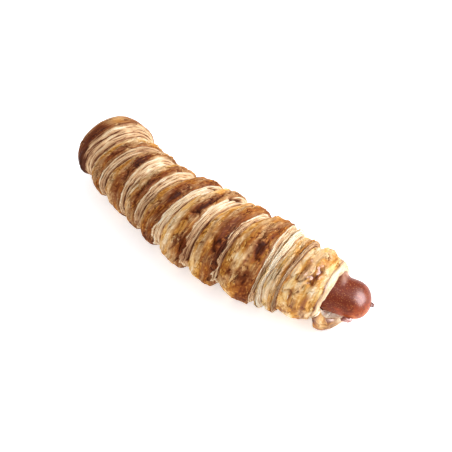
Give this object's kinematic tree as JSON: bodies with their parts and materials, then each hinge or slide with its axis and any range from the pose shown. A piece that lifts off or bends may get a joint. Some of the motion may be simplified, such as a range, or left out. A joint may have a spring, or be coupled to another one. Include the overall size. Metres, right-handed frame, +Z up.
{
  "type": "sausage roll",
  "caption": "Long curved sausage wound in a spiral of browned puff pastry, with stepped flaky edges and the sausage tip showing at one end.",
  "frame": {"origin": "under the middle of the roll's bounding box, on the plane that it rests on", "axes": "+X along the roll's length towards the end where the sausage shows, +Y towards the inside of its bend, +Z up"},
  "size_m": [0.1968, 0.0596, 0.0464],
  "materials": {
    "pastry": "baked and egg-washed, golden to dark brown skin with pale flaky cut edges",
    "sausage": "glossy cooked sausage skin"
  },
  "bodies": {
    "root": {"pastry": "pastry", "sausage": "sausage"}
  },
  "joints": []
}
